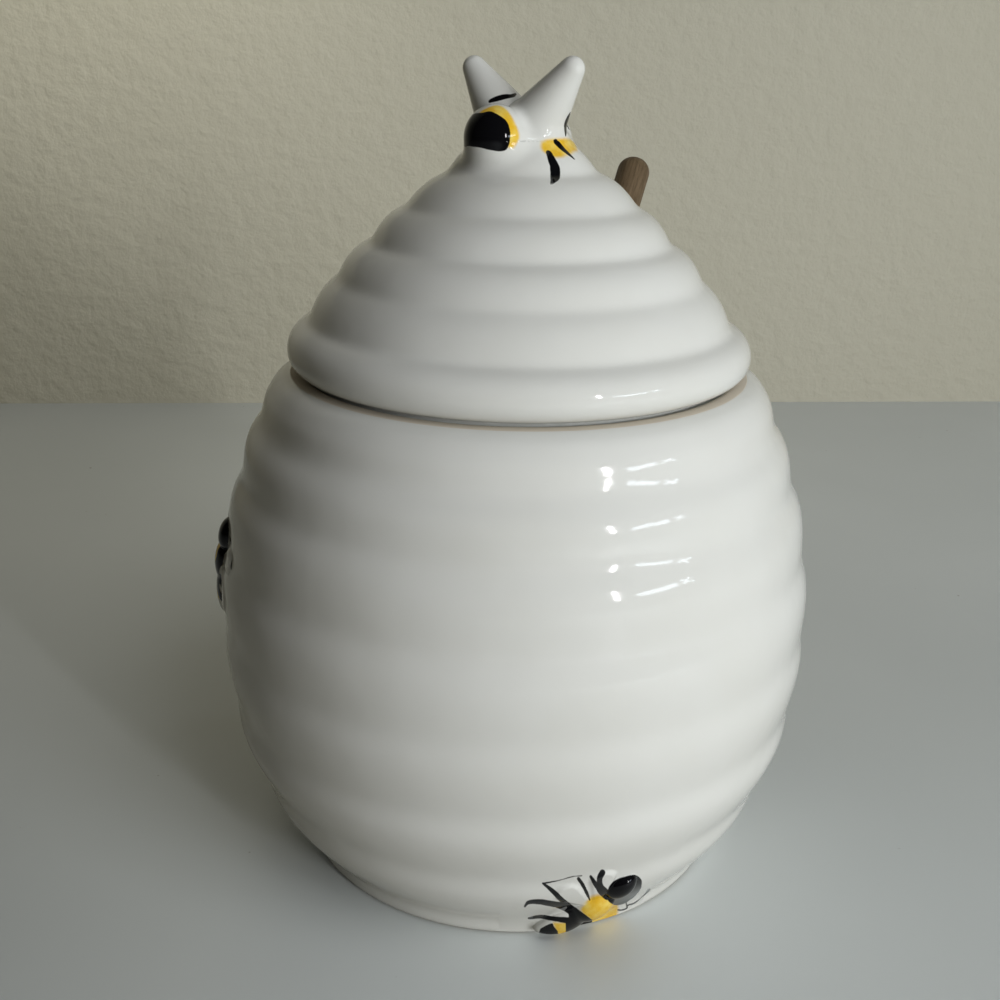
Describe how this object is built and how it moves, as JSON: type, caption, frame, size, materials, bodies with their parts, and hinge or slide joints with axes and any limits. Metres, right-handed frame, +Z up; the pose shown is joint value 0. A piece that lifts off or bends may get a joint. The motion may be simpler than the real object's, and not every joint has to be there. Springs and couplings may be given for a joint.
{
  "type": "honey pot",
  "caption": "Beehive-shaped glazed ceramic honey pot with a loose coiled lid, a bee for its knob, low bees on its side and a wooden dipper.",
  "frame": {"origin": "centre of the pot's flat base, on the surface that it stands on", "axes": "+Z up along the pot's axis, -Y towards the front, +X to the right seen from the front"},
  "size_m": [0.1223, 0.1215, 0.158],
  "materials": {
    "white_glaze": "high-gloss white glaze on cast earthenware",
    "wing_glaze": "high-gloss white glaze on hand-laid clay",
    "bee_glaze": "yellow and black underglaze bands beneath a clear gloss glaze",
    "turned_wood": "bare turned hardwood, darkened by use"
  },
  "bodies": {
    "pot": {"pot_body": "white_glaze", "front_bee_body": "bee_glaze", "front_bee_wings": "wing_glaze", "left_bee_body": "bee_glaze", "left_bee_wings": "wing_glaze"},
    "lid": {"lid_dome": "white_glaze", "finial_bee_body": "bee_glaze", "finial_bee_wing_left": "wing_glaze", "finial_bee_wing_right": "wing_glaze"},
    "dipper": {"dipper_head": "turned_wood", "dipper_handle": "turned_wood"}
  },
  "joints": [
    {"name": "lid_lift", "type": "slide", "parent": "pot", "child": "lid", "axis": [0, 0, 1], "range_m": [0, 0.08]},
    {"name": "dipper_draw", "type": "slide", "parent": "pot", "child": "dipper", "axis": [0.2729, 0.5852, 0.7636], "range_m": [0, 0.08]}
  ]
}
